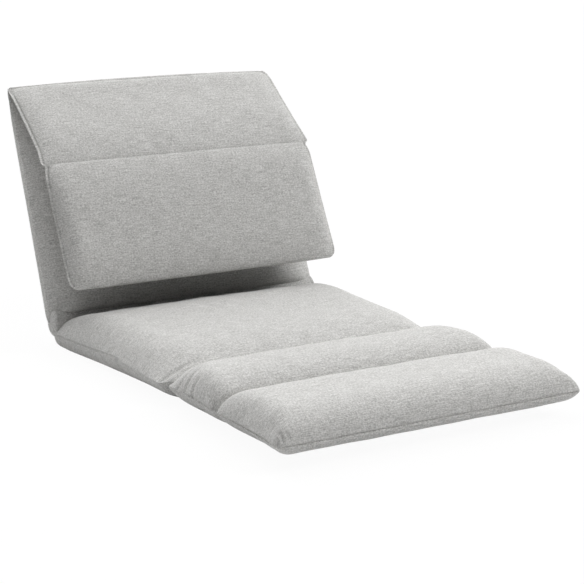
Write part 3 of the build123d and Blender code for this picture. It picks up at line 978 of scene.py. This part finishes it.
@dataclass(frozen=True)
class HeatherWeave:
    """Light grey linen look weave of mixed yarns, with slubs along both threads.

    thread and slub are the yarn's thickness and the length of its uneven spots. weights are the shares
    of weft, warp and the longer streaks along each, whose stretch is given by streaks.
    """

    name: str = "heather_weave"
    light: Colour = (0.640, 0.635, 0.620)
    dark: Colour = (0.335, 0.331, 0.320)
    thread: float = 0.0013
    slub: float = 0.0045
    streaks: Pair = (0.16, 0.22)
    weights: tuple[float, float, float, float] = (0.38, 0.27, 0.23, 0.12)
    contrast: float = 5.4
    cloud_scale: float = 38.0
    cloud_share: float = 0.25
    grain: float = 1.6
    relief: float = 0.0005

    def make(self) -> Material:
        """Material on the cushion's cloth coordinates, which are in metres.

        Noises stretched along each thread are added up by their weights, made stronger and clipped,
        and mix the two colours. The relief is the same yarn with a finer grain.

        Returns:
            The material.
        """
        kit = ShaderKit(bpy.data.materials.new(self.name))
        cloth = kit.coordinates("UV")
        fine, long = 1 / self.thread, 1 / self.slub
        weft = kit.noise(cloth, (long, fine, 1.0), 2.0, True)
        warp = kit.noise(cloth, (fine, long, 1.0), 2.0, True)
        streak = kit.noise(cloth, (long * self.streaks[0], fine, 1.0), 1.0, True)
        stripe = kit.noise(cloth, (fine, long * self.streaks[1], 1.0), 1.0, True)
        cloud = kit.noise(cloth, (self.cloud_scale, self.cloud_scale, 1.0), 3.0, True)
        a, b, c, d = self.weights
        yarn = weft * a + warp * b + streak * c + stripe * d
        share = kit.maths("MULTIPLY_ADD", yarn - 0.5, self.contrast, 0.5) + (cloud - 0.5) * self.cloud_share
        share = kit.maths("MINIMUM", kit.maths("MAXIMUM", share, 0.0), 1.0)
        grain = kit.noise(cloth, (fine * self.grain, fine * self.grain, 1.0), 1.0, True)
        height = yarn * 0.7 + grain * 0.3
        return kit.surface(
            kit.mixed(share, self.dark, self.light), 0.95 - share * 0.12, height, self.relief,
            Sheen_Weight=0.18, Sheen_Roughness=0.6, Specular_IOR_Level=0.25,
        )


@dataclass(frozen=True)
class CoatedMetal:
    """Finish of a metal piece: two tones mixed by a stretched noise, with a fine relief."""

    name: str
    light: Colour
    dark: Colour
    metallic: float
    roughness: Pair
    grain: Triple
    relief: float
    wear: Triple = (22.0,) * 3
    contrast: float = 1.2
    wear_share: float = 0.5

    def make(self) -> Material:
        """Material on object coordinates: the grain and a broad wear, added up, mix the two colours.

        Returns:
            The material.
        """
        kit = ShaderKit(bpy.data.materials.new(self.name))
        place = kit.coordinates("Object")
        grain = kit.noise(place, self.grain, 3.0)
        wear = kit.noise(place, self.wear, 4.0)
        share = kit.maths("MULTIPLY_ADD", grain - 0.5, self.contrast, 0.5) + (wear - 0.5) * self.wear_share
        low, high = self.roughness
        return kit.surface(
            kit.mixed(share, self.dark, self.light), wear * (high - low) + low, grain, self.relief,
            Metallic=self.metallic,
        )


@dataclass(frozen=True)
class TwistedCord:
    """Cotton cord with slanting strands and a fine fuzz."""

    name: str = "twisted_cord"
    light: Colour = (0.62, 0.62, 0.60)
    dark: Colour = (0.34, 0.34, 0.33)
    pitch: float = 0.0045
    wander: float = 0.6
    fuzz: Triple = (900.0,) * 3
    relief: float = 0.0006

    def make(self) -> Material:
        """Material on object coordinates: bands across the line x + y + z.

        Returns:
            The material.
        """
        kit = ShaderKit(bpy.data.materials.new(self.name))
        place = kit.coordinates("Object")
        settings = {"wave_type": "BANDS", "bands_direction": "DIAGONAL"}
        sockets = {"Vector": place, "Scale": 1 / self.pitch / 3, "Distortion": self.wander, "Detail": 2.0}
        strand = kit.out(kit.node("ShaderNodeTexWave", settings, sockets), "Fac")
        share = strand * 0.75 + kit.noise(place, self.fuzz, 2.0) * 0.25
        return kit.surface(kit.mixed(share, self.dark, self.light), 0.95 - share * 0.1, share, self.relief)


FINISHES = {
    "frame_tube": CoatedMetal(
        "black_powder_coat", (0.050, 0.050, 0.053), (0.030, 0.030, 0.033), 0.0, (0.42, 0.58),
        (2600.0,) * 3, 0.0002,
    ),
    "hinge_steel": CoatedMetal(
        "zinc_plate", (0.62, 0.63, 0.62), (0.42, 0.43, 0.44), 1.0, (0.30, 0.48),
        (160.0,) * 3, 0.00006,
    ),
    "spring_steel": CoatedMetal(
        "blued_spring", (0.30, 0.32, 0.38), (0.16, 0.17, 0.22), 1.0, (0.22, 0.38),
        (1500.0, 120.0, 1500.0), 0.00004,
    ),
    "rivet_steel": CoatedMetal(
        "rivet_steel", (0.66, 0.66, 0.65), (0.48, 0.48, 0.48), 1.0, (0.25, 0.42),
        (700.0,) * 3, 0.00005,
    ),
    "welt_cord": TwistedCord(),
}

# Ends of the channels, in the order of the base, the back and the flap
SEAT_REAR = End(0.003, (0.0016, 0.034), (0.180, 0.030), 0.002, (1.0, 0.5), fold=(None, 85))
SEAT_FRONT = End(0.0, (0.020, 0.030), (0.100, 0.045), 0.004, (0.8, 0.5))
STRIP_REAR = End(0.0, (0.020, 0.030), (0.009, 0.010), 0.0)
STRIP_FRONT = End(0.0, (0.016, 0.030), (0.009, 0.010), 0.0)
CALF_REAR = End(0.0, (0.016, 0.030), (0.068, 0.045), 0.004)
CHANNEL_END = End(0.0, (0.010, 0.030), (0.080, 0.052), 0.004)
FOOT_TIP = End(0.0, (0.006, 0.003), (0.072, 0.240), 0.009)
BACK_FOOT = End(0.003, (0.0016, 0.025), (0.028, 0.030), 0.002, fold=(66, 85))
TOP_FOLD_END = End(0.0005, (0.0002, 0.0021), (0.150, 0.150), 0.003, fold=(14.3, None), nose=0.0045)
HEAD_FOOT = End(0.0, (0.004, 0.0020), (0.036, 0.090), 0.002, (0.5, 0.75))
PILLOW_TOP = End(0.0, (0.004, 0.0020), (0.036, 0.100), 0.003, (0.5, 0.65))
PILLOW_TIP = End(0.0, (0.004, 0.003), (0.060, 0.075), 0.016, (0.5, 0.6))


@dataclass
class FloorSofa:
    """The whole sofa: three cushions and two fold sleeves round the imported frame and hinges."""

    seat_length: float = 0.480
    calf_length: float = 0.178
    foot_length: float = 0.210
    back_length: float = 0.467
    head_length: float = 0.211
    pillow_length: float = 0.247
    seam_height: float = 0.040
    back_angle: float = 200 / 3
    head_fold: float = 150.0
    pillow_fold: float = 26.0
    fold_reach: float = 0.010
    strip: float = 0.024

    def panels(self) -> dict[str, Panel]:
        """Seam planes of the sections, each from the fold that carries it.

        Returns:
            Panels of seat, back and flap by name.
        """
        rear = (self.seat_length / 2, self.seam_height)
        back = Panel(rear, self.back_angle, self.back_angle + 90)
        turn = self.back_angle + self.head_fold
        top = back.fold_at(self.back_length)
        return {
            "seat": Panel(rear, 180, 90), "back": back,
            "flap": BentPanel(top, turn, turn + 90, self.head_length, self.pillow_fold, self.fold_reach),
        }

    def base_cushion(self, panel: Panel) -> Cushion:
        """Seat and leg rest in one cover: the seat, the strip over the hinges, calf and foot channel.

        Args:
            panel: Seam plane of the seat.

        Returns:
            The cushion, ready to build.
        """
        calf = self.seat_length
        foot = calf + self.calf_length
        tip = foot + self.foot_length
        near, far = calf - self.strip / 2, calf - self.strip / 2 + self.strip
        channels = (
            Channel(0, near, SEAT_REAR, SEAT_FRONT, (0.047, 0.040)),
            Channel(near, self.strip, STRIP_REAR, STRIP_FRONT, (0.024, 0.032), 0.0),
            Channel(far, self.calf_length - self.strip / 2, CALF_REAR, CHANNEL_END, (0.052, 0.040), 0.003),
            Channel(foot, self.foot_length, CHANNEL_END, FOOT_TIP, (0.051, 0.040), 0.005),
        )
        seam = Seam(
            (
                (0.003, 0.0, 0.040, 0.008, 0.0), (0.020, -0.018, 0.042, 0.008, 0.001),
                (0.070, -0.015, 0.050, 0.010, 0.001), (0.140, -0.011, 0.062, 0.020, 0.0),
                (0.282, 0.002, 0.076, 0.046, 0.0), (0.360, 0.0, 0.080, 0.058, 0.0),
                (0.440, 0.0, 0.095, 0.064, 0.0), (calf - 0.017, 0.0, 0.090, 0.066, 0.0),
                (calf - 0.008, 0.0, 0.062, 0.068, -0.024), (calf + 0.002, 0.001, 0.062, 0.068, -0.024),
                (calf + 0.012, 0.002, 0.082, 0.068, 0.001), (calf + 0.048, 0.003, 0.064, 0.070, 0.0),
                (calf + 0.100, 0.004, 0.046, 0.072, 0.0), (foot - 0.012, 0.003, 0.038, 0.076, 0.0),
                (foot, 0.002, 0.038, 0.078, -0.006), (foot + 0.012, 0.003, 0.042, 0.078, 0.002),
                (foot + 0.050, 0.003, 0.050, 0.078, 0.003), (tip - 0.080, 0.003, 0.050, 0.070, 0.004),
                (tip - 0.030, 0.003, 0.048, 0.045, 0.004), (tip, 0.0025, 0.024, 0.024, 0.006),
            ),
            depth=0.0019, width=0.0011, hidden=(0.300, 0.462),
        )
        edge = LEFT_EDGE
        gathers = tuple(
            Wrinkle((edge, calf + v), (edge + reach, calf + v - 0.010), bend, 0.0036, 0.0026)
            for v, reach, bend in ((0.046, 0.066, 0.006), (0.071, 0.058, 0.004), (0.099, 0.038, 0.003))
        )
        creases = (
            Wrinkle((edge, calf - 0.020), (edge + 0.150, calf - 0.036), 0.004, 0.0040, 0.0030),
            Wrinkle((edge, foot - 0.004), (edge + 0.085, foot - 0.012), 0.003, 0.0030, 0.0022),
            Wrinkle((edge + 0.006, tip - 0.003), (edge + 0.001, tip - 0.026), 0.002, 0.0022, 0.0030),
            Wrinkle((edge + 0.015, tip - 0.002), (edge + 0.010, tip - 0.020), 0.001, 0.0022, 0.0026),
            Wrinkle((edge, 0.290), (edge + 0.022, 0.312), 0.002, 0.0030, 0.0020, Side.UNDER),
        )
        sheets = ("cover_top", "cover_bottom", "foam_upper", "foam_lower")
        nodes = tuple(f"{section}_{sheet}" for section in ("seat", "legrest") for sheet in sheets)
        return FoldedCushion(
            "base_cushion", "seat", panel, channels, nodes, seam, mirrored(gathers + creases), seed=3,
            far_body="legrest", fold_at=calf, reach=0.025,
        )

    def back_cushion(self, panel: Panel) -> Cushion:
        """The back, a little wider at its foot, with two creases at its lower corners.

        Args:
            panel: Seam plane of the back.

        Returns:
            The cushion, ready to build.
        """
        channel = Channel(0, self.back_length, BACK_FOOT, TOP_FOLD_END, (0.041, 0.038))
        spreads = ((0.0, 0.005), (0.150, 0.004), (self.back_length, 0.0))
        seam = Seam(tuple((v, 0.0, 0.064, 0.030, spread) for v, spread in spreads))
        edge = LEFT_EDGE + 0.010
        folds = (
            Wrinkle((edge, 0.026), (edge + 0.036, 0.044), 0.003, 0.0026, 0.0030),
            Wrinkle((edge, 0.014), (edge + 0.030, 0.034), 0.003, 0.0026, 0.0028),
        )
        nodes = ("back_cover_front", "back_cover_rear", "back_foam_front", "back_foam_rear")
        return Cushion("back_cushion", "back", panel, (channel,), nodes, seam, mirrored(folds), seed=7)

    def flap_cushion(self, panel: Panel) -> Cushion:
        """Head panel and pillow in one cover, with tucks where their sewn line meets the rim.

        Args:
            panel: Seam plane of the flap, bent at the sewn line.

        Returns:
            The cushion, ready to build.
        """
        fold = self.head_length
        tip = fold + self.pillow_length
        channels = (
            Channel(0, fold, TOP_FOLD_END, HEAD_FOOT, (0.028, 0.017)),
            Channel(fold, self.pillow_length, PILLOW_TOP, PILLOW_TIP, (0.033, 0.022), 0.001),
        )
        seam = Seam(
            (
                (0.0, 0.0, 0.064, 0.045, 0.0), (0.030, -0.004, 0.064, 0.045, 0.0),
                (0.180, -0.004, 0.064, 0.040, 0.0), (fold - 0.010, -0.001, 0.064, 0.036, 0.002),
                (fold - 0.003, 0.0, 0.064, 0.036, 0.004), (fold + 0.003, 0.0, 0.064, 0.036, -0.004),
                (fold + 0.025, -0.001, 0.064, 0.038, 0.0), (tip, -0.002, 0.064, 0.040, 0.001),
            ),
            depth=0.0018, width=0.0015, offset=0.0044, bead=0.0008, hidden=(tip - 0.008, tip + 0.001),
        )
        edge, under = LEFT_EDGE, Side.UNDER
        tucks = (
            Wrinkle((edge, fold + 0.003), (edge + 0.036, fold + 0.013), 0.002, 0.0024, 0.0014, under),
            Wrinkle((edge, fold - 0.004), (edge + 0.030, fold - 0.012), 0.002, 0.0024, 0.0012, under),
        )
        sheets = ("cover_inner", "cover_outer", "foam")
        nodes = tuple(f"{section}_{sheet}" for section in ("head", "pillow") for sheet in sheets)
        nodes = (*nodes, "pillow_fold_cord")
        return FoldedCushion(
            "flap_cushion", "head_panel", panel, channels, nodes, seam, mirrored(tucks), seed=9,
            far_body="pillow", fold_at=fold, reach=self.fold_reach,
        )

    def soft_parts(self) -> list[Cushion | FoldSleeve]:
        """The three cushions, and the sleeves round the two open folds.

        Returns:
            All soft pieces, in the order in which they are built.
        """
        panels = self.panels()
        return [
            self.base_cushion(panels["seat"]),
            self.back_cushion(panels["back"]),
            self.flap_cushion(panels["flap"]),
            FoldSleeve("recline_sleeve", "seat", panels["back"].origin, 0.0285, 0.2915, gather=0.0014),
            FoldSleeve(
                "head_sleeve", "back", panels["flap"].origin, 0.0028, 0.2850,
                gather=0.0001, bow=0.0047, round_points=24,
            ),
        ]

    def build(self) -> None:
        """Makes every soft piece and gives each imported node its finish."""
        cover = HeatherWeave().make()
        for soft in self.soft_parts():
            soft.build(cover)
        made = {slot: finish.make() for slot, finish in FINISHES.items()}
        for part in frame["record"]["subparts"]:
            slot = part["material_slot"]
            if slot in made:
                mesh = frame["nodes"][part["node"]].data
                mesh.materials.clear()
                mesh.materials.append(made[slot])
                log.info("%s: %s", part["node"], slot)


@dataclass(frozen=True)
class Lamp:
    """Square soft box."""

    name: str
    place: Triple
    size: float
    power: float

    def build(self, aim: Triple) -> None:
        """Hangs the lamp at its place, pointed at the aim.

        Args:
            aim: Point that the lamp faces.
        """
        light = bpy.data.lights.new(self.name, "AREA")
        light.size = self.size
        light.energy = self.power
        lamp = add_object(self.name, light)
        lamp.location = self.place
        way = Vector(aim) - Vector(self.place)
        lamp.rotation_euler = way.to_track_quat("-Z", "Y").to_euler()


LAMPS = (
    Lamp("overhead", (0.0, 0.0, 12.0), 16.0, 720.0),
    Lamp("rear", (0.5, 9.0, 9.0), 16.0, 2350.0),
    Lamp("front_right", (5.0, -3.0, 5.0), 3.0, 345.0),
)


@dataclass
class Studio:
    """Pale floor, soft lights and the camera at the photograph's place."""

    eye: Triple = (-1.537, -2.774, 0.889)
    tilt: float = 76.3
    turn: float = -30.6
    lens: float = 107.55
    sensor: float = 36.0
    aim: Triple = (0.0, -0.15, 0.15)
    floor_size: float = 60.0
    floor_drop: float = 0.0004
    floor_grey: float = 0.84
    floor_glow: float = 0.95
    ambient: float = 0.03

    def floor(self) -> None:
        """White floor that shows as near white to the camera and still takes a faint shadow."""
        corner = self.floor_size / 2
        points = np.array([[-1, -1, 0], [1, -1, 0], [1, 1, 0], [-1, 1, 0]]) * corner
        mesh = bpy.data.meshes.new("floor")
        mesh.from_pydata((points - [0, 0, self.floor_drop]).tolist(), [], [[0, 1, 2, 3]])
        kit = ShaderKit(bpy.data.materials.new("pale_floor"))
        glow = kit.node("ShaderNodeEmission", {}, {"Color": (1, 1, 1, 1), "Strength": 1.0})
        matt = kit.node("ShaderNodeBsdfDiffuse", {}, {"Color": (*[self.floor_grey] * 3, 1)})
        both = kit.seen_or_lit(kit.out(glow, "Emission"), kit.out(matt, "BSDF"), self.floor_glow)
        kit.node("ShaderNodeOutputMaterial", {}, {"Surface": both})
        mesh.materials.append(kit.owner)
        floor = add_object("floor", mesh)

    def world(self) -> None:
        """White surround: full white to the camera, dimmer as light on the sofa."""
        world = bpy.data.worlds.new("surround")
        bpy.context.scene.world = world
        kit = ShaderKit(world)
        white, dim = (
            kit.node("ShaderNodeBackground", {}, {"Color": (1, 1, 1, 1), "Strength": strength})
            for strength in (1.0, self.ambient)
        )
        both = kit.seen_or_lit(kit.out(white, "Background"), kit.out(dim, "Background"))
        kit.node("ShaderNodeOutputWorld", {}, {"Surface": both})

    def camera(self) -> None:
        """Camera as solved from the photograph's folds and corners."""
        data = bpy.data.cameras.new("camera")
        data.lens = self.lens
        data.sensor_width = self.sensor
        camera = add_object("camera", data)
        camera.location = self.eye
        camera.rotation_euler = [math.radians(self.tilt), 0, math.radians(self.turn)]
        bpy.context.scene.camera = camera

    def build(self) -> None:
        """Sets up the whole studio."""
        bpy.context.scene.view_settings.view_transform = "Standard"
        self.floor()
        self.world()
        for lamp in LAMPS:
            lamp.build(self.aim)
        self.camera()


def main() -> None:
    """Builds the sofa and its studio."""
    logging.basicConfig(level=logging.INFO, format="%(name)s: %(message)s")
    FloorSofa().build()
    Studio().build()


if __name__ == "__main__":
    main()
